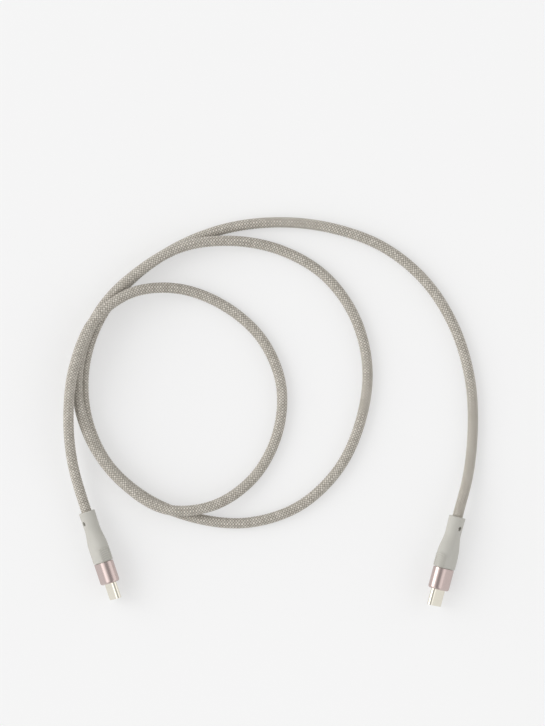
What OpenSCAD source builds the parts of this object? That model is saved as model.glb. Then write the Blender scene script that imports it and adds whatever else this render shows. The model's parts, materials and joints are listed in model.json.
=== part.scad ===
// Charging cable with a braided sleeve and a moulded plug at each end,
// laid down in two and a half loose loops. Millimetres, Z up, table at z = 0.
// Each plug is drawn in a frame of its own: Z runs from the cable end of its
// boot to the tip, X across its wide side, Y through its thickness.

/* [Cable] */
// Diameter over the braided sleeve
cable_d = 4.2; // [3.8:0.1:4.4]
// Thickness of the braided sleeve
sleeve_wall = 0.45; // [0.3:0.05:0.6]
// Air between a stretch of cable and the stretch that lies on it
lay_gap = 0.5; // [0.45:0.05:0.9]

/* [Boot] */
// Length of the boot, from its cable end to the collar
boot_l = 21; // [20:0.5:24]
// Width of the boot at its cable end
boot_rear_w = 7.2; // [7:0.1:8]
// Thickness of the boot at its cable end
boot_rear_h = 6.2; // [6:0.1:6.4]
// Width of the boot at the collar
boot_front_w = 10.4; // [10.2:0.1:11.4]
// Thickness of the boot at the collar
boot_front_h = 6.5; // [6.3:0.1:7]
// Where the boot starts to widen, from its cable end
flare_from = 7; // [6:0.5:8]
// Where the boot has its full width, from its cable end
flare_to = 15; // [14:0.5:16]
// Wall of the boot round the inner mould
boot_wall = 0.9; // [0.8:0.05:1]
// Diameter of the locating hole in each wide face
pin_hole_d = 1.8; // [1:0.1:2]
// Locating holes from the cable end
pin_hole_at = 4.4; // [3.5:0.1:6]
// Locating holes from the middle of the wide face
pin_hole_off = 0.5; // [0:0.1:0.8]

/* [Grip] */
// Arched ribs on each narrow side of the boot
rib_count = 7; // [3:1:8]
// Distance from one rib to the next
rib_pitch = 0.85; // [0.75:0.05:0.9]
// Width of a rib
rib_w = 0.4; // [0.3:0.05:0.5]
// How far a rib stands out of the boot
rib_out = 0.3; // [0.1:0.02:0.4]
// Length of the ellipse that a rib's arch is cut from
arch_l = 2.4; // [1:0.1:2.8]
// Half the width of that ellipse
arch_w = 3.1; // [2:0.1:3.2]

/* [Collar] */
// Length of the metal collar
collar_l = 8.7; // [8:0.1:10]
// Width of the collar
collar_w = 10.2; // [10:0.1:11]
// Thickness of the collar
collar_h = 6.3; // [6:0.1:6.6]
// Wall of the collar
collar_wall = 0.6; // [0.5:0.05:0.65]
// Thickness of the collar's front wall
collar_front = 0.8; // [0.6:0.1:1.2]
// Rounding of the collar's front edge
collar_round = 0.9; // [0.4:0.1:1.2]

/* [Plug shell] */
// Width of the plug shell
shell_w = 8.25; // [8.2:0.01:8.3]
// Thickness of the plug shell
shell_h = 2.4; // [2.36:0.01:2.44]
// Length of shell that stands out of the collar
shell_out = 6.65; // [6.2:0.05:6.9]
// Length of shell behind the collar's front face
shell_in = 4.4; // [4:0.1:5]
// Wall of the shell
shell_wall = 0.22; // [0.2:0.01:0.24]

/* [Contacts] */
// Distance from one contact position to the next
contact_pitch = 0.5; // [0.48:0.01:0.5]
// Width of a contact
contact_w = 0.22; // [0.18:0.01:0.26]
// Thickness of a contact
contact_t = 0.12; // [0.1:0.01:0.14]
// Housing on each side of the slot that a socket's tongue enters
cheek = 0.445; // [0.4:0.005:0.48]
// Height of that slot
tongue_h = 0.84; // [0.8:0.01:0.9]
// Depth of that slot
tongue_depth = 5.2; // [5:0.1:5.4]
// How far back from the mouth of the housing a contact has its crown
crown_back = 2.1; // [1.8:0.1:2.4]

/* [Ground springs] */
// Thickness of a ground spring
spring_t = 0.1; // [0.08:0.01:0.12]
// Shell face left clear on each side of a ground spring
spring_side = 0.22; // [0.2:0.02:0.5]
// Length of a ground spring
spring_l = 4.88; // [4:0.04:5]
// Width of one of its four fingers
finger_w = 0.9; // [0.7:0.05:1]

/* [Latches] */
// Thickness of a latch arm
latch_t = 0.16; // [0.12:0.01:0.18]
// Height of a latch arm
latch_h = 0.6; // [0.5:0.02:0.64]
// Length of a latch arm from its root to its hook
latch_l = 5.6; // [5.2:0.1:5.8]
// How far a hook reaches in beyond its arm
hook_in = 0.26; // [0.2:0.01:0.3]

/* [Circuit board] */
// Width of the board
board_w = 6.2; // [5.9:0.1:6.4]
// Thickness of the board
board_t = 0.7; // [0.6:0.05:0.8]
// Length of the board
board_l = 7.6; // [7:0.1:8.2]
// Width and height of the capacitor's body
capacitor_w = 1; // [0.8:0.1:1.2]
capacitor_h = 0.5; // [0.4:0.05:0.55]

/* [Wires] */
// Diameter of the power and ground wires
power_wire_d = 1.1; // [0.9:0.05:1.2]
// Diameter of the control and data wires
signal_wire_d = 0.6; // [0.5:0.05:0.7]

/* [Fits] */
// Play between pieces that are pressed or moulded together
fit = 0.03; // [0.02:0.005:0.05]
// Play round a latch root
root_play = 0.04; // [0.02:0.01:0.08]
// Air above and below a latch arm, and behind it
latch_gap = 0.06; // [0.04:0.01:0.08]
// Groove between the boot and the collar
seam = 0.25; // [0.15:0.05:0.35]

/* [Hidden] */
$fn = 48;
SIDES = 12;      // sides of the cable's tube
RING_STEP = 9.5; // distance from one ring of that tube to the next
CUT = 0.05;      // how far a cutter runs past the face that it opens

// Route of the cable on the table: [x, y, layer]. Layer 0 lies on the table,
// 1 on a stretch below it, 2 on two of them.
ROUTE = [
    [-79.5, 38, 1.1], [-81, 57, 1.7], [-78.5, 77, 2.05], [-70.5, 95, 2.1],
    [-56.5, 105.5, 1.6], [-38, 107.5, 0.5], [-19, 100.5, 0], [-4, 87, 0],
    [3.5, 69, 0], [2, 49.5, 0], [-7.5, 32, 0.1], [-23.5, 21, 0.65],
    [-42, 19.5, 1.05], [-60, 30.5, 1.03], [-72, 46.5, 1], [-77.5, 65, 1],
    [-75.5, 84, 1], [-67, 101, 1], [-53.5, 114, 1.05], [-36, 124, 1.05],
    [-16.5, 126.5, 0.6], [3, 123, 0], [20.5, 113, 0], [33, 96, 0],
    [38, 75.5, 0], [35.5, 55.5, 0], [26.5, 35.5, 0], [10.5, 20.5, 0],
    [-10, 14, 0], [-31, 16, 0], [-50.5, 24, 0], [-66, 38, 0],
    [-74, 56, 0], [-75, 76, 0], [-69, 95, 0], [-56.5, 111, 0],
    [-39, 123.5, 0], [-18.5, 131.5, 0], [3, 134, 0], [24.5, 131.5, 0],
    [44.5, 124, 0], [61.5, 110, 0], [73, 91.5, 0], [79, 71, 0],
    [80, 50, 0], [77.5, 30, 0.3]
];
// The straight stretch at each end: [where it enters the boot, where it starts to bend]
END_1 = [[-74, 18.5], [-75.5, 23]];
END_2 = [[73.85, 16.5], [75.18, 21.5]];
// How far each plug is rolled from lying flat
ROLL_1 = 63.5;
ROLL_2 = 126;

// Places along the plug, from the cable end of the boot
ring_l = 3.2;
ring_wall = 0.35;
ring_from = flare_from + 2;
ring_to = ring_from + ring_l;
jacket_to = ring_to + 0.6;
mould_from = flare_to - 1;
rib_last = boot_l - 0.45;
arch_turn = 50;  // half the angle of an arch
collar_from = boot_l + seam;
collar_to = collar_from + collar_l;
tip = collar_to + shell_out;
shell_from = collar_to - shell_in;
housing_from = shell_from + 2;
housing_to = tip - 0.12;
slot_floor = housing_to - tongue_depth;
contact_bend = slot_floor + 0.3;
contact_crown = housing_to - crown_back;
board_to = housing_from - fit;
board_from = board_to - board_l;
can_from = mould_from + 0.5;
can_to = shell_from - fit;

// Nested widths and thicknesses
mould_rear_w = boot_front_w - 2 * boot_wall;
mould_rear_h = boot_front_h - 2 * boot_wall;
mould_wall = 0.5;
can_w = mould_rear_w - 2 * mould_wall;
can_h = mould_rear_h - 2 * mould_wall;
can_wall = 0.2;
bore_w = shell_w - 2 * shell_wall;
bore_h = shell_h - 2 * shell_wall;
housing_w = bore_w - 2 * fit;
housing_h = bore_h - 2 * fit;
ring_d = cable_d + 2 * fit + 2 * ring_wall;

// Contacts: which of the twelve positions are filled
UPPER_ROW = [1, 4, 5, 6, 7, 9, 12];
LOWER_ROW = [1, 4, 5, 9, 12];
beam_y = 0.58;
tail_y = board_t / 2 + fit + contact_t / 2;
slot_top = housing_h / 2 - 0.1;

// Ground springs lie on the flat faces of the bore
spring_w = bore_w - bore_h - 2 * spring_side;
spring_from = housing_to - spring_l;

// Latches turn about a round root in the housing
tongue_w = housing_w - 2 * cheek;
latch_x = tongue_w / 2 + 0.04;
latch_nose = 0.6;
root_r = 0.22;
root_at = housing_to - latch_nose - 0.7 - latch_l;

// A plug rests on the ribs of its boot
function axis_height(roll) = boot_front_h / 2 + rib_out + (boot_front_w - boot_front_h) / 2 * abs(sin(roll));
function layer_z(layer) = cable_d / 2 + layer * (cable_d + lay_gap);
function unit(v) = v / norm(v);
function deep(end, roll, depth) =
    let (out = unit(end[1] - end[0]), p = end[0] - depth * out) [p.x, p.y, axis_height(roll)];
function cord_end(end, roll, depth) = [
    if (depth > 0) deep(end, roll, depth),
    deep(end, roll, 0), deep(end, roll, -norm(end[1] - end[0]))
];
function reversed(list) = [for (i = [len(list) - 1 : -1 : 0]) list[i]];
function cord_points(depth) = concat(
    cord_end(END_1, ROLL_1, depth),
    [for (p = ROUTE) [p.x, p.y, layer_z(p.z)]],
    reversed(cord_end(END_2, ROLL_2, depth))
);

// Smooth curve through the points: the slope at a point is that of the
// parabola through it and its neighbours, level where the cable stops rising
// or falling, so that it never dips into the table
function slope(p, i) =
    i == 0 ? unit(p[1] - p[0])
    : i == len(p) - 1 ? unit(p[i] - p[i - 1])
    : let (back = p[i] - p[i - 1], on = p[i + 1] - p[i], a = norm(back), b = norm(on),
           s = (back * b / a + on * a / b) / (a + b))
      [s.x, s.y, back.z * on.z > 0 ? s.z : 0];
function on_curve(p, i, t) =
    let (l = norm(p[i + 1] - p[i]), a = slope(p, i) * l, b = slope(p, i + 1) * l)
    p[i] * (1 + t * t * (2 * t - 3)) + a * (t * (1 - t) * (1 - t))
    + p[i + 1] * (t * t * (3 - 2 * t)) + b * (t * t * (t - 1));
function curve(p, step) = [
    for (i = [0 : len(p) - 2])
        let (n = max(1, round(norm(p[i + 1] - p[i]) / step)))
        for (k = [0 : n - 1]) on_curve(p, i, k / n),
    p[len(p) - 1]
];

// Rings of points square to a path, and tubes of triangles between them
function along(path, i) =
    let (last = len(path) - 1, a = min(i, last - 1), b = max(i, 1))
    unit(unit(path[a + 1] - path[a]) + unit(path[b] - path[b - 1]));
function ring(path, i, r, sides) =
    let (t = along(path, i), side = unit(cross([0, 0, 1], t)), up = cross(t, side))
    [for (k = [0 : sides - 1]) let (a = 360 * k / sides - 90) path[i] + r * (cos(a) * side + sin(a) * up)];
function skin(rings, sides, from, inward) = [
    for (i = [0 : rings - 2], k = [0 : sides - 1])
        let (a = from + i * sides + k, b = from + i * sides + (k + 1) % sides, c = a + sides, d = b + sides)
        each inward ? [[a, b, c], [b, d, c]] : [[a, c, b], [b, c, d]]
];

module rod(path, d, sides) {
    n = len(path);
    polyhedron(
        points = [for (i = [0 : n - 1]) each ring(path, i, d / 2, sides)],
        faces = concat(
            skin(n, sides, 0, false),
            [[for (k = [0 : sides - 1]) k]],
            [[for (k = [sides - 1 : -1 : 0]) (n - 1) * sides + k]]
        )
    );
}

module sleeve(path, d, wall, sides) {
    n = len(path);
    inner = n * sides;
    polyhedron(
        points = concat(
            [for (i = [0 : n - 1]) each ring(path, i, d / 2, sides)],
            [for (i = [0 : n - 1]) each ring(path, i, d / 2 - wall, sides)]
        ),
        faces = concat(
            skin(n, sides, 0, false),
            skin(n, sides, inner, true),
            [for (k = [0 : sides - 1], e = [0, 1])
                let (s = e * (n - 1) * sides, m = (k + 1) % sides,
                     a = s + k, b = s + m, c = inner + s + k, d = inner + s + m)
                each e == 0 ? [[a, b, c], [b, d, c]] : [[a, c, b], [b, c, d]]]
        )
    );
}

// Least air between the cable and itself, over stretches that aren't neighbours
function clamp01(x) = max(0, min(1, x));
function between(a, b, c, d) =
    let (u = b - a, v = d - c, w = a - c, uu = u * u, uv = u * v, vv = v * v, den = uu * vv - uv * uv,
         s = den < 0.001 ? 0 : clamp01((uv * (v * w) - vv * (u * w)) / den),
         t = clamp01((uv * s + v * w) / vv), q = clamp01((uv * t - u * w) / uu))
    norm(w + q * u - t * v);
function least_gap(p, d) = min([
    for (i = [0 : len(p) - 2], j = [i + 4 : 1 : len(p) - 2]) between(p[i], p[i + 1], p[j], p[j + 1])
]) - d;
function path_length(p) = let (l = [for (i = [0 : len(p) - 2]) norm(p[i + 1] - p[i])]) l * [for (x = l) 1];

// A racetrack outline, and a solid whose edge profile follows it
module racetrack(w, h) {
    square([w - h, h], center = true);
    for (x = [-1, 1]) translate([x * (w - h) / 2, 0]) circle(d = h);
}
module racetrack_bar(w, h, from, to) {
    translate([0, 0, from]) linear_extrude(to - from) racetrack(w, h);
}
module rounded_racetrack(w, h, length, r) {
    module profile() {
        square([h / 2, length - r]);
        square([h / 2 - r, length]);
        translate([h / 2 - r, length - r]) intersection() { circle(r); square(r); }
    }
    for (x = [-1, 1]) translate([x * (w - h) / 2, 0, 0]) rotate_extrude() profile();
    rotate([90, 0, 90]) linear_extrude(w - h, center = true) {
        profile();
        mirror([1, 0]) profile();
    }
}

// Sections of the boot along its length: [place, half width, half thickness]
function blend(a, b, t) = a + (b - a) * t * t * (3 - 2 * t);
edge = 0.35;
function boot_section(z) =
    let (t = clamp01((z - flare_from) / (flare_to - flare_from)),
         inset = z < edge ? edge - sqrt(edge * edge - (edge - z) * (edge - z)) : 0,
         waist = 0.14 * sin(180 * clamp01(z / flare_to)))
    [z, blend(boot_rear_w, boot_front_w, t) / 2 - inset - waist * (1 - t),
        blend(boot_rear_h, boot_front_h, t) / 2 - inset - waist * (1 - t)];
function boot_ring(s, sides) = [
    for (k = [0 : sides - 1])
        let (a = 360 * (k + 0.5) / sides)
        [s[2] * cos(a) + sign(cos(a)) * (s[1] - s[2]), s[2] * sin(a), s[0]]
];
module boot_body(grow) {
    sides = 44;
    places = concat([0, edge / 3, edge], [for (k = [1 : 3]) flare_from * k / 4],
        [for (k = [0 : 11]) flare_from + (flare_to - flare_from) * k / 11], [(flare_to + boot_l) / 2, boot_l]);
    n = len(places);
    polyhedron(
        points = [for (z = places) each boot_ring(boot_section(z) + [0, grow, grow], sides)],
        faces = concat(
            skin(n, sides, 0, false),
            [[for (k = [0 : sides - 1]) k]],
            [[for (k = [sides - 1 : -1 : 0]) (n - 1) * sides + k]]
        )
    );
}

// Grip ribs: arched walls through the narrow sides, one behind the other, trimmed
// by a boot that is a rib's height fatter. Each arch has its crown at the cable end.
module arch() {
    function rim(grow) = [
        for (t = [-arch_turn : arch_turn / 4 : arch_turn])
            [(arch_l + grow) * cos(t) - arch_l, (arch_w + grow) * sin(t)]
    ];
    polygon(concat(rim(rib_w / 2), reversed(rim(-rib_w / 2))));
}
module grip_ribs() {
    intersection() {
        boot_body(rib_out);
        for (side = [0, 180], k = [0 : rib_count - 1])
            rotate([0, 0, side]) translate([boot_front_w / 4, 0, rib_last - k * rib_pitch]) rotate([0, 90, 0])
                linear_extrude(boot_front_w / 2) arch();
    }
}

module boot() {
    color("#c9cbc3") difference() {
        union() {
            boot_body(0);
            grip_ribs();
        }
        translate([0, 0, -CUT]) cylinder(d = cable_d + 2 * fit, h = ring_from + 2 * CUT);
        translate([0, 0, ring_from - fit]) cylinder(d = ring_d + 2 * fit, h = mould_from - ring_from + 2 * fit);
        racetrack_bar(mould_rear_w + 2 * fit, mould_rear_h + 2 * fit, mould_from - fit, boot_l + CUT);
        translate([pin_hole_off, 0, pin_hole_at]) rotate([90, 0, 0])
            cylinder(d = pin_hole_d, h = 2 * max(boot_rear_h, boot_front_h), center = true);
    }
}

module collar() {
    color("#b9a3a4") difference() {
        translate([0, 0, collar_from]) rounded_racetrack(collar_w, collar_h, collar_l, collar_round);
        racetrack_bar(collar_w - 2 * collar_wall, collar_h - 2 * collar_wall, boot_l, collar_to - collar_front);
        racetrack_bar(shell_w + 2 * fit, shell_h + 2 * fit, boot_l, collar_to + CUT);
    }
}

module crimp_ring() {
    color("#b8892f") translate([0, 0, ring_from]) difference() {
        cylinder(d = ring_d, h = ring_l);
        translate([0, 0, -CUT]) cylinder(d = cable_d + 2 * fit, h = ring_l + 2 * CUT);
    }
}

module inner_mould() {
    front_w = collar_w - 2 * collar_wall - 2 * fit;
    front_h = collar_h - 2 * collar_wall - 2 * fit;
    color("#e7e3d8") difference() {
        union() {
            racetrack_bar(mould_rear_w, mould_rear_h, mould_from, collar_from + fit);
            racetrack_bar(front_w, front_h, collar_from + fit, collar_to - collar_front - fit);
        }
        translate([0, 0, mould_from - CUT])
            cylinder(d = ring_d - 2 * ring_wall, h = can_from - mould_from + 2 * CUT);
        racetrack_bar(can_w + 2 * fit, can_h + 2 * fit, can_from - fit, can_to + fit);
        racetrack_bar(shell_w + 2 * fit, shell_h + 2 * fit, can_to, collar_to);
    }
}

module shield_can_half() {
    difference() {
        racetrack_bar(can_w, can_h, can_from, can_to);
        racetrack_bar(can_w - 2 * can_wall, can_h - 2 * can_wall, can_from + can_wall, can_to + CUT);
        translate([0, 0, can_from - CUT]) cylinder(d = ring_d - 2 * ring_wall, h = can_wall + 2 * CUT);
        translate([-can_w, -can_h - fit / 2, 0]) cube([2 * can_w, can_h + fit, tip]);
    }
}
module upper_shield_can() { color("#c8ccd0") shield_can_half(); }
module lower_shield_can() { color("#c8ccd0") rotate([0, 0, 180]) shield_can_half(); }

module shell() {
    color("#d9d6c6") difference() {
        translate([0, 0, shell_from]) rounded_racetrack(shell_w, shell_h, tip - shell_from, shell_wall * 0.8);
        racetrack_bar(bore_w, bore_h, shell_from - CUT, tip + CUT);
    }
}

function contact_x(position) = (position - 6.5) * contact_pitch;

// The plastic housing, with the slot for a socket's tongue, a slot for each
// contact, a channel for each latch and a seat for each ground spring
module housing() {
    color("#2b2d30") difference() {
        racetrack_bar(housing_w, housing_h, housing_from, housing_to);
        translate([-tongue_w / 2, -tongue_h / 2, slot_floor]) cube([tongue_w, tongue_h, tongue_depth + CUT]);
        contact_slots(UPPER_ROW);
        rotate([0, 0, 180]) contact_slots(LOWER_ROW);
        for (side = [0, 180]) rotate([0, 0, side]) {
            latch_channel();
            spring_seat();
        }
    }
}
module contact_slots(row) {
    w = contact_w + 2 * fit;
    root = contact_t + 2 * fit;
    for (i = row) translate([contact_x(i) - w / 2, 0, 0]) {
        translate([0, beam_y - root / 2, housing_from - CUT]) cube([w, root, tip - housing_from]);
        translate([0, 0, contact_bend]) cube([w, slot_top, contact_crown + 1 - contact_bend]);
    }
}
module latch_channel() {
    h = latch_h + 2 * latch_gap;
    reach = housing_w / 2 + CUT - latch_x + latch_t / 2 + latch_gap;
    translate([latch_x - latch_t / 2 - latch_gap, -h / 2, root_at]) cube([reach, h, latch_l + latch_nose + 0.4]);
    translate([latch_x, 0, root_at]) rotate([90, 0, 0]) cylinder(r = root_r + root_play, h = h, center = true);
}
module spring_seat() {
    seat = spring_t + fit;
    w = spring_w + 2 * fit;
    translate([-w / 2, housing_h / 2 - seat, spring_from - fit]) cube([w, seat + CUT, tip - spring_from]);
    translate([-w / 2, tongue_h / 2 - CUT, housing_to - 0.2]) cube([w, housing_h / 2, 1]);
}

// Spring contacts: a tail on the board, a leg held in the housing, and a
// beam that crowns near the mouth
module contact_row(row) {
    crown = contact_crown;
    t = contact_t;
    centre = [
        [shell_from + 0.2, tail_y], [housing_from - 0.5, tail_y], [housing_from - 0.1, beam_y],
        [contact_bend, beam_y], [crown - 0.25, 0.24], [crown + 0.1, 0.24], [crown + 0.6, 0.42]
    ];
    outline = concat(
        [for (p = centre) [p.x, p.y + t / 2]],
        [for (i = [len(centre) - 1 : -1 : 0]) [centre[i].x, centre[i].y - t / 2]]
    );
    color("#caa24a") for (i = row)
        translate([contact_x(i) - contact_w / 2, 0, 0])
            rotate([0, -90, 0]) mirror([0, 0, 1]) linear_extrude(contact_w) polygon(outline);
}
module upper_contacts() { contact_row(UPPER_ROW); }
module lower_contacts() { rotate([0, 0, 180]) contact_row(LOWER_ROW); }

// A latch: a round root, a thin arm and a hook that grips the side of a socket's tongue
module latch() {
    inner = latch_x - latch_t / 2;
    hook = root_at + latch_l;
    outline = [
        [inner + latch_t, root_at], [inner, root_at], [inner, hook - 0.7], [inner - hook_in, hook - 0.1],
        [inner - hook_in, hook + 0.1], [inner, hook + latch_nose], [inner + latch_t, hook + latch_nose]
    ];
    color("#b9bcc0") rotate([90, 0, 0]) {
        linear_extrude(latch_h, center = true) polygon(outline);
        translate([latch_x, root_at, 0]) cylinder(r = root_r, h = latch_h, center = true);
    }
}
module first_latch() { latch(); }
module second_latch() { rotate([0, 0, 180]) latch(); }

// A ground spring: a plate under the shell with fingers folded in at the mouth
module ground_spring() {
    top = housing_h / 2;
    front = housing_to - fit;
    fold = front - 0.17;
    color("#c9c6ba") {
        translate([-spring_w / 2, top - spring_t, spring_from]) cube([spring_w, spring_t, front - spring_from]);
        for (x = [-1.5, -0.5, 0.5, 1.5]) translate([x * spring_w / 4 - finger_w / 2, 0, 0]) {
            translate([0, tongue_h / 2 - 0.04, fold]) cube([finger_w, top - tongue_h / 2 + 0.04, 0.1]);
            translate([0, tongue_h / 2 - 0.14, fold - 0.7]) cube([finger_w, 0.1, 0.8]);
        }
    }
}
module upper_ground_spring() { ground_spring(); }
module lower_ground_spring() { rotate([0, 0, 180]) ground_spring(); }

module circuit_board() {
    color("#1f5a3a") translate([-board_w / 2, -board_t / 2, board_from]) cube([board_w, board_t, board_l]);
}
module capacitor() {
    color("#8a6a45") translate([-capacitor_w / 2, -board_t / 2 - fit - capacitor_h, board_from + board_l / 2])
        cube([capacitor_w, capacitor_h, capacitor_h]);
}

// Wires run from the end of the jacket to the tail end of the board
module wire(start, pad, d) {
    z = board_from + 0.3;
    path = [
        [start.x, start.y, jacket_to + fit], [start.x, start.y, jacket_to + fit + 0.3],
        [pad.x, pad.y, z], [pad.x, pad.y, z + 1.6]
    ];
    wire_rod(path, d);
}
module wire_rod(path, d) {
    n = 8;
    last = len(path) - 1;
    polyhedron(
        points = [for (p = path, k = [0 : n - 1]) p + d / 2 * [cos(360 * k / n), sin(360 * k / n), 0]],
        faces = concat(
            skin(last + 1, n, 0, false),
            [[for (k = [0 : n - 1]) k]],
            [[for (k = [n - 1 : -1 : 0]) last * n + k]]
        )
    );
}
power_y = board_t / 2 + fit + power_wire_d / 2;
signal_y = -board_t / 2 - fit - signal_wire_d / 2;
module power_wire() { color("#b23a32") wire([-0.7, 0.45], [-1.5, power_y], power_wire_d); }
module ground_wire() { color("#26282b") wire([0.7, 0.45], [1.5, power_y], power_wire_d); }
module control_wire() { color("#3a62a8") wire([0, -0.95], [0, signal_y], signal_wire_d); }
module data_wires() {
    color("#e3e3de") wire([-0.85, -0.65], [-1.3, signal_y], signal_wire_d);
    color("#3d8a4f") wire([0.85, -0.65], [1.3, signal_y], signal_wire_d);
}

module braided_sleeve() {
    color("#aaa59b") sleeve(curve(cord_points(ring_to), RING_STEP), cable_d, sleeve_wall, SIDES);
}
module cable_jacket() {
    color("#5b5d60") rod(curve(cord_points(jacket_to), RING_STEP), cable_d - 2 * sleeve_wall - 2 * fit, SIDES);
}

module plug_place(i) {
    end = i == 1 ? END_1 : END_2;
    roll = i == 1 ? ROLL_1 : ROLL_2;
    to_tip = unit(end[0] - end[1]);
    translate(deep(end, roll, 0)) rotate([0, 0, atan2(to_tip.x, -to_tip.y)]) rotate([90, 0, 0])
        rotate([0, 0, roll]) children();
}

cord = curve(cord_points(0), RING_STEP);
echo(cable_length = path_length(cord), least_gap = least_gap(cord, cable_d));

PLUG_PIECES = [
    "boot", "collar", "crimp_ring", "inner_mould", "upper_shield_can", "lower_shield_can",
    "plug_shell", "contact_housing", "upper_contacts", "lower_contacts", "first_latch", "second_latch",
    "upper_ground_spring", "lower_ground_spring", "circuit_board", "capacitor",
    "power_wire", "ground_wire", "control_wire", "data_wires"
];

braided_sleeve();
cable_jacket();
for (i = [1, 2]) plug_place(i) {
    boot();
    collar();
    crimp_ring();
    inner_mould();
    upper_shield_can();
    lower_shield_can();
    shell();
    housing();
    upper_contacts();
    lower_contacts();
    first_latch();
    second_latch();
    upper_ground_spring();
    lower_ground_spring();
    circuit_board();
    capacitor();
    power_wire();
    ground_wire();
    control_wire();
    data_wires();
}
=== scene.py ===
# %% [markdown]
# # A braided charging cable
#
# The cable lies on a pale table in two and a half loose loops, with the same small plug at both ends. The
# rigid pieces come ready made, in metres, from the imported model. This notebook adds what a metal or
# plastic solid can't show by itself: the woven sleeve, yarn by yarn, and a finish for every piece. First
# come the tools and the model.

import json
import math

import bpy
import numpy as np
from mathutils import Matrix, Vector

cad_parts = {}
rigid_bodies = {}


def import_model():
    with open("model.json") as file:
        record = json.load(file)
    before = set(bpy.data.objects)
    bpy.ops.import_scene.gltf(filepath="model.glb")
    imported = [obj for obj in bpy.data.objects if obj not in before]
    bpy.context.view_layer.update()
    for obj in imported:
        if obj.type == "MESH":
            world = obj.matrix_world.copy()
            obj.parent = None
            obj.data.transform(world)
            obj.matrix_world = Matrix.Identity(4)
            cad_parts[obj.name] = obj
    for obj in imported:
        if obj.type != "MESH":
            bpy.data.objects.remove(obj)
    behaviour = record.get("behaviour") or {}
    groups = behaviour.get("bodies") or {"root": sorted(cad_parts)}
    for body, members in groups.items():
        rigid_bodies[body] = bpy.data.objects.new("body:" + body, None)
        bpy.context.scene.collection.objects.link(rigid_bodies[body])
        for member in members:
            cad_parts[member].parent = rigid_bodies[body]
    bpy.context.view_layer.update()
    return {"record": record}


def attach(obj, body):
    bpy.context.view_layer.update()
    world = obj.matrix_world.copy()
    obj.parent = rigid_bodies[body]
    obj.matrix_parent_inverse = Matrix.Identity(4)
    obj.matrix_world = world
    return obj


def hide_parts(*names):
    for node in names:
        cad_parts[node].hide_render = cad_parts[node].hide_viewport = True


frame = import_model()
MM = 0.001

# %% [markdown]
# ## Camera
#
# The view is straight down. A long lens from far away keeps the loops true to scale, because the top of
# the pile is then hardly nearer to the lens than the table is. The distance follows from how much table
# the frame has to hold.

# %% Camera
FRAME_TALL = 0.2904
FRAME_CENTRE = (0.0001, 0.0778)
LENS, FILM = 200, 36

lens = bpy.data.cameras.new("camera")
lens.lens, lens.sensor_width = LENS, FILM
camera = bpy.data.objects.new("camera", lens)
camera.location = (*FRAME_CENTRE, FRAME_TALL * LENS / FILM)
bpy.context.scene.collection.objects.link(camera)
bpy.context.scene.camera = camera
print("camera height, m:", round(camera.location.z, 3))

# %% [markdown]
# ## The cable's route
#
# A cable is a fixed length of something stiff enough to lie in round loops. Its line is a list of points
# on the table, in millimetres, each with the layer that it lies in: 0 on the table, 1 on a stretch below
# it, 2 on two of them. A smooth curve goes through them. At each point its slope is that of the parabola
# through the point and its neighbours, and it is level where the cable stops rising or falling, so that
# it never dips into the table.

# %% Points of the route
CABLE_D = 4.2 * MM
LAYER = CABLE_D + 0.5 * MM
ROUTE = [
    (-79.5, 38, 1.1), (-81, 57, 1.7), (-78.5, 77, 2.05), (-70.5, 95, 2.1),
    (-56.5, 105.5, 1.6), (-38, 107.5, 0.5), (-19, 100.5, 0), (-4, 87, 0),
    (3.5, 69, 0), (2, 49.5, 0), (-7.5, 32, 0.1), (-23.5, 21, 0.65),
    (-42, 19.5, 1.05), (-60, 30.5, 1.03), (-72, 46.5, 1), (-77.5, 65, 1),
    (-75.5, 84, 1), (-67, 101, 1), (-53.5, 114, 1.05), (-36, 124, 1.05),
    (-16.5, 126.5, 0.6), (3, 123, 0), (20.5, 113, 0), (33, 96, 0),
    (38, 75.5, 0), (35.5, 55.5, 0), (26.5, 35.5, 0), (10.5, 20.5, 0),
    (-10, 14, 0), (-31, 16, 0), (-50.5, 24, 0), (-66, 38, 0),
    (-74, 56, 0), (-75, 76, 0), (-69, 95, 0), (-56.5, 111, 0),
    (-39, 123.5, 0), (-18.5, 131.5, 0), (3, 134, 0), (24.5, 131.5, 0),
    (44.5, 124, 0), (61.5, 110, 0), (73, 91.5, 0), (79, 71, 0),
    (80, 50, 0), (77.5, 30, 0.3),
]
# Where each end enters its boot, where it starts to bend, and the height of its axis
END_1 = ((-74, 18.5), (-75.5, 23), 5.295)
END_2 = ((73.85, 16.5), (75.18, 21.5), 5.128)
IN_BOOT = 12.2 * MM


def end_points(end, depth):
    """The points of one end, from the deepest in the boot outwards, in metres."""
    entry, bend = (np.array([*p, end[2]]) * MM for p in end[:2])
    inward = (entry - bend) / np.linalg.norm(entry - bend)
    return [entry + depth * inward, entry, bend]


knots = np.array(
    end_points(END_1, IN_BOOT)
    + [(x * MM, y * MM, CABLE_D / 2 + layer * LAYER) for x, y, layer in ROUTE]
    + end_points(END_2, IN_BOOT)[::-1]
)
print("points on the route:", len(knots))

# %% Smooth line through the points


def slopes(points):
    """The curve's slope at each point, in metres per metre."""
    steps = np.diff(points, axis=0)
    long = np.linalg.norm(steps, axis=1)[:, None]
    back, on = steps[:-1], steps[1:]
    a, b = long[:-1], long[1:]
    inner = (back * b / a + on * a / b) / (a + b)
    inner[back[:, 2] * on[:, 2] <= 0, 2] = 0
    return np.vstack([steps[0] / long[0], inner, steps[-1] / long[-1]])


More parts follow.
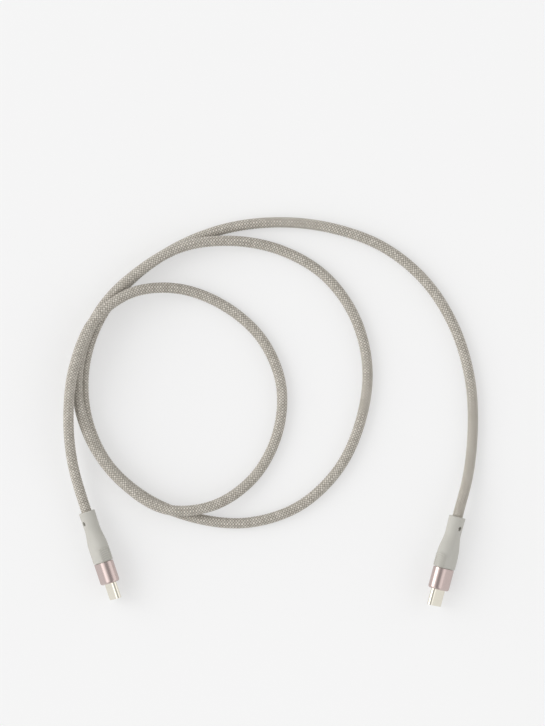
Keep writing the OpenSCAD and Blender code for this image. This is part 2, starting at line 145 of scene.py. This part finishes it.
def smooth_line(points, parts):
    """Many points on the smooth curve, the given number to each stretch."""
    slope = slopes(points)
    out = []
    for p, q, a, b in zip(points[:-1], points[1:], slope[:-1], slope[1:]):
        span = np.linalg.norm(q - p)
        t = np.linspace(0, 1, parts, endpoint=False)[:, None]
        out.append(
            p * (1 + t * t * (2 * t - 3)) + a * span * t * (1 - t) ** 2
            + q * t * t * (3 - 2 * t) + b * span * t * t * (t - 1)
        )
    return np.vstack([*out, points[-1:]])


PARTS = 200
line = smooth_line(knots, PARTS)
run = np.concatenate([[0], np.cumsum(np.linalg.norm(np.diff(line, axis=0), axis=1))])
free_length = run[-1] - 2 * IN_BOOT
print("cable between the boots, mm:", round(free_length / MM, 1))

# %% [markdown]
# ## The woven sleeve
#
# The sleeve is braided on a machine from two sets of bobbins: nine yarns wind one way round the cable and
# nine the other way, each over one and under one. Seen close, it is a pattern of small diamonds, and each
# diamond is the piece of yarn that is on top there. Yarns modelled one by one would take millions of
# faces. One skin does as well: its radius follows the yarn that is on top, so the light catches every
# diamond from any side.
#
# Two numbers place a point in the pattern: how many cells it is along the cable, and how many round it.
# Their sum and their difference count the yarns of the two directions.

# %% Height of the weave
YARNS = 9
CELL = 1.17 * MM
VALLEY, YARN_RISE = 1.93 * MM, 0.2 * MM
# Height of a yarn where it dives under the next one, as a share of its crown
YARN_END = 0.45


def weave(along, around):
    """Height of the top yarn, from 0 in a gap to 1 on its crown, at a place counted in cells."""
    a, b = along + around, along - around
    over = (np.floor(a) + np.floor(b)) % 2 == 0
    a, b = a % 1, b % 1
    across, lengthwise = np.where(over, a, b), np.where(over, b, a)
    return np.sqrt(1 - (2 * across - 1) ** 2) * (YARN_END + (1 - YARN_END) * np.sin(np.pi * lengthwise))


print("height on a crown and in a gap:", weave(0.5, 0.0).round(2), weave(0.0, 0.0).round(2))

# %% [markdown]
# The skin is a grid: rings square to the line, four to a cell, each with three points to a cell. The
# stretch deep in each boot, which nobody sees, is a single band with a plain ring at its end. Two maps go
# with the skin. The first holds the place in the weave, which the yarn's finish reads. The second lays
# the sleeve out flat in strips, for whoever bakes it.

# %% Skin of the sleeve
SPOKES_PER_CELL, RINGS_PER_CELL = 3, 4
SIDES = SPOKES_PER_CELL * YARNS
WOVEN_IN_BOOT = 3 * MM
HIDDEN = IN_BOOT - WOVEN_IN_BOOT
cells = round((run[-1] - 2 * HIDDEN) / CELL)
woven = np.linspace(HIDDEN, run[-1] - HIDDEN, RINGS_PER_CELL * cells + 1)
places = np.concatenate([[0], woven, [run[-1]]])
centres = np.stack([np.interp(places, run, line[:, i]) for i in range(3)], axis=1)
ahead = np.gradient(centres, axis=0)
ahead /= np.linalg.norm(ahead, axis=1)[:, None]
side = np.cross([0, 0, 1], ahead)
side /= np.linalg.norm(side, axis=1)[:, None]
up = np.cross(ahead, side)

along = (places - HIDDEN) * cells / (run[-1] - 2 * HIDDEN)
around = np.arange(SIDES) / SPOKES_PER_CELL
height = weave(along[:, None], around[None, :])
height[[0, -1]] = 0
# No yarn lies quite as its neighbours do, so each point is a little higher or lower
SEED, UNEVEN, HIGHEST = 7, 0.035, 1.1
wobble = np.random.default_rng(SEED).normal(0, UNEVEN, height.shape)
radius = VALLEY + YARN_RISE * np.clip(height + wobble, 0, HIGHEST)
angle = (2 * np.pi * np.arange(SIDES) / SIDES)[None, :, None]
spokes = np.cos(angle) * side[:, None] + np.sin(angle) * up[:, None]
skin = centres[:, None] + radius[..., None] * spokes
print("rings:", len(places), "cells along:", cells, "widest, mm:", round(2 * radius.max() / MM, 2))

# %% Mesh of the sleeve
rings = len(places)
ring, spoke = np.meshgrid(np.arange(rings - 1), np.arange(SIDES), indexing="ij")
ring, spoke = ring.ravel(), spoke.ravel()
after = (spoke + 1) % SIDES
here, there = ring * SIDES, (ring + 1) * SIDES
quads = np.stack([here + spoke, here + after, there + after, there + spoke], axis=1)
mesh = bpy.data.meshes.new("woven_sleeve")
mesh.from_pydata(skin.reshape(-1, 3), [], quads[:, ::-1].tolist())
mesh.shade_smooth()

corner_ring = np.stack([ring + 1, ring + 1, ring, ring], axis=1)
corner_spoke = np.stack([spoke, spoke + 1, spoke + 1, spoke], axis=1)
yarn_map = np.stack([along[corner_ring], corner_spoke / SPOKES_PER_CELL], axis=-1)
# The second map has a strip for each ninth of the cable, with a margin round each
STRIPS, END_MARGIN, SIDE_MARGIN = 9, 0.004, 0.03
strip = (ring * STRIPS) // rings
share = run[-1] / STRIPS
within = np.clip((places[corner_ring] - (strip * share)[:, None]) / share, 0, 1)
strip_map = np.stack(
    [
        END_MARGIN + (1 - 2 * END_MARGIN) * within,
        (strip[:, None] + SIDE_MARGIN + (1 - 2 * SIDE_MARGIN) * corner_spoke / SIDES) / STRIPS,
    ],
    axis=-1,
)
for name, values in (("yarns", yarn_map), ("OFBake", strip_map)):
    layer = mesh.uv_layers.new(name=name)
    layer.uv.foreach_set("vector", values.reshape(-1).astype(np.float32))
woven_sleeve = bpy.data.objects.new("woven_sleeve", mesh)
bpy.context.scene.collection.objects.link(woven_sleeve)
print("faces in the sleeve:", len(mesh.polygons))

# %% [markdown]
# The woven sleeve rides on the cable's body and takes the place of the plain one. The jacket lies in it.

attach(woven_sleeve, "cable")
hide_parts("braided_sleeve")

# %% [markdown]
# ## Sums in a material
#
# A procedural material is a small program drawn as nodes. Written as sums it is easier to read, so a thin
# wrapper turns each operator into its Math node. Anything that isn't a sum comes from one method, which
# takes the type of a node, its settings and its inputs.

# %% Wrapper for nodes


class Link:
    """The output of a node, which can be used in sums."""

    def __init__(self, paint, socket):
        self.paint, self.socket = paint, socket

    def maths(self, operation, *values):
        return self.paint.node("Math", {"operation": operation}, values)

    def __add__(self, other):
        return self.maths("ADD", self, other)

    def __sub__(self, other):
        return self.maths("SUBTRACT", self, other)

    def __rsub__(self, other):
        return self.maths("SUBTRACT", other, self)

    def __mul__(self, other):
        return self.maths("MULTIPLY", self, other)

    def __mod__(self, other):
        return self.maths("FLOORED_MODULO", self, other)

    def __pow__(self, other):
        return self.maths("POWER", self, other)

    __radd__, __rmul__ = __add__, __mul__

    def floor(self):
        return self.maths("FLOOR", self)

    def sine(self):
        return self.maths("SINE", self)


class Paint:
    """A material, or the surroundings, in the making."""

    def __init__(self, name, blocks=bpy.data.materials):
        self.block = blocks.new(name)
        self.block.use_nodes = True
        self.tree = self.block.node_tree
        self.tree.nodes.clear()

    def node(self, kind, settings, inputs, out=0):
        made = self.tree.nodes.new("ShaderNode" + kind)
        for name, value in settings.items():
            setattr(made, name, value)
        for key, value in inputs.items() if isinstance(inputs, dict) else enumerate(inputs):
            if isinstance(value, Link):
                self.tree.links.new(value.socket, made.inputs[key])
            else:
                made.inputs[key].default_value = value
        return Link(self, made.outputs[out])

    def ease(self, value, start, end):
        """0 before start, 1 after end, and smooth between them."""
        inputs = {"Value": value, "From Min": start, "From Max": end}
        return self.node("MapRange", {"interpolation_type": "SMOOTHSTEP"}, inputs)

    def mix(self, factor, first, second):
        return self.node("Mix", {"data_type": "RGBA"}, {0: factor, 6: first, 7: second}, 2)

    def place(self):
        return self.node("TexCoord", {}, {}, "Object")

    def noise(self, scale, detail=2.0):
        inputs = {"Vector": self.place(), "Scale": scale, "Detail": detail}
        return self.node("TexNoise", {}, inputs)

    def ray(self, kind):
        """1 where the surface is met by a ray of that kind, and 0 elsewhere."""
        return self.node("LightPath", {}, {}, f"Is {kind} Ray")

    def bump(self, height, depth, strength):
        return self.node("Bump", {}, {"Height": height, "Distance": depth, "Strength": strength})

    def output(self, kind, shader):
        end = self.tree.nodes.new("ShaderNodeOutput" + kind)
        self.tree.links.new(shader.socket, end.inputs["Surface"])
        return self.block

    def finish(self, **inputs):
        named = {key.replace("_", " "): value for key, value in inputs.items()}
        return self.output("Material", self.node("BsdfPrincipled", {}, named))


def srgb(*levels):
    """A colour from its 8-bit screen levels."""
    parts = [v / 255 for v in levels]
    return (*[p / 12.92 if p <= 0.04045 else ((p + 0.055) / 1.055) ** 2.4 for p in parts], 1.0)


# %% [markdown]
# ## Yarn
#
# The yarn is matt and in two tones: one set of nine is a little lighter than the other, and between the
# yarns it is darker because little light gets in. Each diamond shows a few filaments that run along its
# yarn. The material repeats the sum that gave the skin its height, at a much finer scale than the mesh
# has, and adds the filaments. Each diamond also gets a shade of its own, from noise that is read at the
# number of its two yarns.

# %% Finish of the yarn
LIGHT_YARN, DARK_YARN, GAP = srgb(238, 232, 221), srgb(180, 173, 161), srgb(70, 64, 56)
# How much darker the second set is, and how much one diamond differs from the next
SET_TONE, DIAMOND_TONE = 0.35, 0.5
# How round a yarn is across its width, its height at its ends, and how fast it darkens towards a gap
ROUNDNESS, CROWN_END, DARKENING = 0.6, 0.35, 1.4
# Filaments in a yarn, how much they darken it, and how far they stand out
FILAMENTS, FILAMENT_SHADE, FILAMENT_HEIGHT = 5, 0.2, 0.12
YARN_RELIEF = 0.12 * MM

paint = Paint("braid_yarn")
uv = paint.node("UVMap", {"uv_map": "yarns"}, {})
u = paint.node("SeparateXYZ", {}, [uv], 0)
v = paint.node("SeparateXYZ", {}, [uv], 1)
a, b = u + v, u - v
a_yarn, b_yarn = a.floor(), b.floor()
under = (a_yarn + b_yarn) % 2.0
a_place, b_place = a % 1.0, b % 1.0
across = a_place + under * (b_place - a_place)
lengthwise = b_place + under * (a_place - b_place)
arch = CROWN_END + (1 - CROWN_END) * (lengthwise * math.pi).sine()
crown = (across * math.pi).sine() ** ROUNDNESS * arch
filaments = 0.5 + 0.5 * (across * (2 * FILAMENTS * math.pi)).sine()
which = paint.node("CombineXYZ", {}, [a_yarn % float(YARNS), a_yarn + b_yarn, 0.0])
tint = paint.node("TexWhiteNoise", {"noise_dimensions": "3D"}, [which])
yarn = paint.mix(SET_TONE * under + DIAMOND_TONE * tint, LIGHT_YARN, DARK_YARN)
yarn = paint.mix(FILAMENT_SHADE * filaments * crown, yarn, GAP)
colour = paint.mix((1 - crown) ** DARKENING, yarn, GAP)
relief = paint.bump(crown + FILAMENT_HEIGHT * filaments, YARN_RELIEF, 0.7)
woven_sleeve.data.materials.append(
    paint.finish(Base_Color=colour, Roughness=0.82, Normal=relief, Sheen_Weight=0.15, Sheen_Roughness=0.4)
)
print("nodes in the yarn's finish:", len(paint.tree.nodes))

# %% [markdown]
# ## Boots
#
# A boot is moulded straight over the cable in a soft plastic. The mould is eroded to a fine matt grain,
# so the surface has no shine, and its colour is very slightly uneven. Two sizes of noise give that: one
# wide and faint in the colour, and one fine in the bump. The grooves between the grip ribs shade
# themselves. A paler colour in them makes up for part of that, so that the ribs stay fine lines and don't
# merge into a dark patch. The pointiness of the mesh finds the grooves: it is a half where the surface is
# flat and less where it bends inwards.

# %% Finish of the boots
BOOT_DARK, BOOT_LIGHT, GROOVE = srgb(184, 182, 174), srgb(191, 189, 182), srgb(216, 214, 206)
# Pointiness where a groove begins, and where it is deep
GROOVE_EDGE, GROOVE_FLOOR = 0.49, 0.4

paint = Paint("moulded_boot")
shade = paint.noise(120.0)
grain = paint.noise(9000.0, 3.0)
colour = paint.mix(shade, BOOT_DARK, BOOT_LIGHT)
bend = paint.node("NewGeometry", {}, {}, "Pointiness")
colour = paint.mix(paint.ease(bend, GROOVE_EDGE, GROOVE_FLOOR), colour, GROOVE)
relief = paint.bump(grain, 0.02 * MM, 0.35)
boot_finish = paint.finish(
    Base_Color=colour, Roughness=0.5 + 0.12 * grain, Normal=relief, Specular_IOR_Level=0.4
)
print("nodes in the boots' finish:", len(paint.tree.nodes))

# %% [markdown]
# ## Collars and shells
#
# The collar is a drawn aluminium tube, fine blasted and anodised to a pale mauve. The shell is smooth
# stainless steel. Both are bare metal, so they are seen by what they mirror. Roughness decides how soft
# that mirror is, and a faint noise in it keeps the long highlights from looking like plastic.

# %% Finish of the metals


def metal(name, colour, roughness, uneven, grain, depth):
    """A bare metal with a blasted or brushed skin."""
    paint = Paint(name)
    fine = paint.noise(grain, 3.0)
    wide = paint.noise(200.0)
    tone = paint.mix(wide, tuple(0.96 * c for c in colour[:3]) + (1.0,), colour)
    relief = paint.bump(fine, depth, 0.4)
    return paint.finish(Base_Color=tone, Metallic=1.0, Roughness=roughness + uneven * fine, Normal=relief)


collar_finish = metal("anodised_mauve", srgb(201, 184, 180), 0.22, 0.08, 12000.0, 0.004 * MM)
shell_finish = metal("drawn_steel", srgb(234, 229, 215), 0.16, 0.05, 8000.0, 0.001 * MM)
sheet_finish = metal("pressed_steel", srgb(205, 205, 202), 0.3, 0.1, 9000.0, 0.002 * MM)
gold_finish = metal("gold_plate", srgb(232, 196, 118), 0.22, 0.06, 9000.0, 0.001 * MM)
brass_finish = metal("drawn_brass", srgb(206, 170, 92), 0.32, 0.1, 9000.0, 0.002 * MM)

# %% [markdown]
# ## Plastics and the pieces inside
#
# The black housing shows in the mouth of each plug. The rest is closed in, but anyone who opens the model
# finds each piece in its usual colour: an off-white inner moulding, a green board and wires in the usual
# colours.

# %% Finish of the plastics


def plastic(name, dark, light, roughness):
    """A moulded or extruded plastic, slightly uneven in tone."""
    paint = Paint(name)
    fine = paint.noise(5000.0, 3.0)
    tone = paint.mix(paint.noise(300.0), dark, light)
    relief = paint.bump(fine, 0.004 * MM, 0.3)
    return paint.finish(Base_Color=tone, Roughness=roughness + 0.1 * fine, Normal=relief)


FINISHES = {
    "boot": boot_finish,
    "collar": collar_finish,
    "plug_shell": shell_finish,
    "sheet_steel": sheet_finish,
    "gold_contact": gold_finish,
    "crimp_ring": brass_finish,
    "contact_housing": plastic("black_nylon", srgb(30, 31, 33), srgb(42, 43, 46), 0.42),
    "jacket": plastic("cable_jacket", srgb(66, 68, 70), srgb(82, 84, 86), 0.6),
    "inner_mould": plastic("off_white_moulding", srgb(222, 217, 203), srgb(234, 230, 218), 0.5),
    "circuit_board": plastic("solder_mask", srgb(24, 84, 50), srgb(34, 98, 62), 0.3),
    "capacitor": plastic("brown_ceramic", srgb(142, 112, 78), srgb(160, 130, 96), 0.5),
    "red_insulation": plastic("red_insulation", srgb(168, 36, 32), srgb(186, 46, 40), 0.35),
    "black_insulation": plastic("black_insulation", srgb(28, 28, 30), srgb(40, 40, 43), 0.35),
    "blue_insulation": plastic("blue_insulation", srgb(40, 82, 160), srgb(54, 98, 178), 0.35),
    "white_insulation": plastic("white_insulation", srgb(222, 222, 216), srgb(236, 236, 230), 0.35),
}

# %% [markdown]
# Each node of the model names what it is made of. A loop gives it the finish of that name.

# %% Dress the nodes
dressed = 0
for part in frame["record"]["subparts"]:
    node = bpy.data.objects[part["node"]]
    if part["material_slot"] in FINISHES:
        node.data.materials.clear()
        node.data.materials.append(FINISHES[part["material_slot"]])
        dressed += 1
print("nodes with a finish:", dressed)

# %% [markdown]
# ## Table and light
#
# The table is a pale matt sheet, much larger than the view. Most of the light comes from the
# surroundings, which are set up as in a studio for small things: a large bright panel on the left, a
# weaker one on the right, and a gap between them where the camera looks down. Surroundings that are far
# away light the whole table evenly. The two panels put the bright bands on the metal, and the gap puts
# the dark band between them. One soft lamp at the upper left gives the shadows their direction.
#
# The camera sees plain white where it looks past the table, and so would anything seen through glass. The
# metal mirrors the panels instead. The table looks partly lit from within, as a light table does, which
# keeps the shadows as pale as they are on a studio sheet. Metal that mirrors the table shows it in the same
# way. Neither adds light to the cable.

# %% Table
REACH, FROM_WITHIN = 3.0, 0.5
# A hair below the cable, so that the two never share a plane
TABLE_TOP = -0.03 * MM
corners = [(x * REACH, y * REACH, TABLE_TOP) for x, y in ((-1, -1), (1, -1), (1, 1), (-1, 1))]
floor_mesh = bpy.data.meshes.new("table")
floor_mesh.from_pydata(corners, [], [(0, 1, 2, 3)])
table = bpy.data.objects.new("table", floor_mesh)
bpy.context.scene.collection.objects.link(table)
paint = Paint("table_sheet")
tone = paint.mix(paint.noise(4.0), srgb(245, 245, 245), srgb(247, 247, 247))
sheet = paint.node("BsdfPrincipled", {}, {"Base Color": tone, "Roughness": 0.9, "Specular IOR Level": 0.0})
glow = paint.node("Emission", {}, {"Color": tone})
rays = [paint.ray(kind) for kind in ("Camera", "Glossy", "Transmission")]
looked_at = rays[0] + rays[1] + rays[2]
both = paint.node("MixShader", {}, [FROM_WITHIN * looked_at, sheet, glow])
table.data.materials.append(paint.output("Material", both))
print("table, m across:", 2 * REACH)

# %% Surroundings
LEFT_PANEL, GAP_ABOVE, RIGHT_PANEL, HORIZON = 1.95, 0.45, 1.25, 1.0
# Where each part fades into the next: across the sky from left to right, and from the horizon up
LEFT_FADE, RIGHT_FADE, HORIZON_FADE = (-0.95, -0.05), (0.3, 0.75), (0.05, 0.3)
paint = Paint("studio", bpy.data.worlds)
way = paint.node("TexCoord", {}, {}, "Generated")
x = paint.node("SeparateXYZ", {}, [way], 0)
z = paint.node("SeparateXYZ", {}, [way], 2)
panels = LEFT_PANEL + (GAP_ABOVE - LEFT_PANEL) * paint.ease(x, *LEFT_FADE)
panels = panels + (RIGHT_PANEL - GAP_ABOVE) * paint.ease(x, *RIGHT_FADE)
light = HORIZON + (panels - HORIZON) * paint.ease(z, *HORIZON_FADE)
seen = paint.ray("Camera") + paint.ray("Transmission")
level = light + seen * (1 - light)
background = paint.node("Background", {}, {"Color": (1.0, 1.0, 1.0, 1.0), "Strength": level})
bpy.context.scene.world = paint.output("World", background)

# %% Lamp


def lamp(name, place, target, size, power):
    """A square soft lamp that points at a target."""
    data = bpy.data.lights.new(name, "AREA")
    data.shape, data.size, data.energy = "SQUARE", size, power
    made = bpy.data.objects.new(name, data)
    made.location = place
    aim = Vector(target) - Vector(place)
    made.rotation_mode = "QUATERNION"
    made.rotation_quaternion = aim.to_track_quat("-Z", "Y")
    bpy.context.scene.collection.objects.link(made)


lamp("softbox", place=(-4.4, 1.2, 3.3), target=(0, 0.07, 0), size=2.8, power=52.0)
bpy.context.scene.view_settings.view_transform = "Standard"
print("lamps:", len(bpy.data.lights))
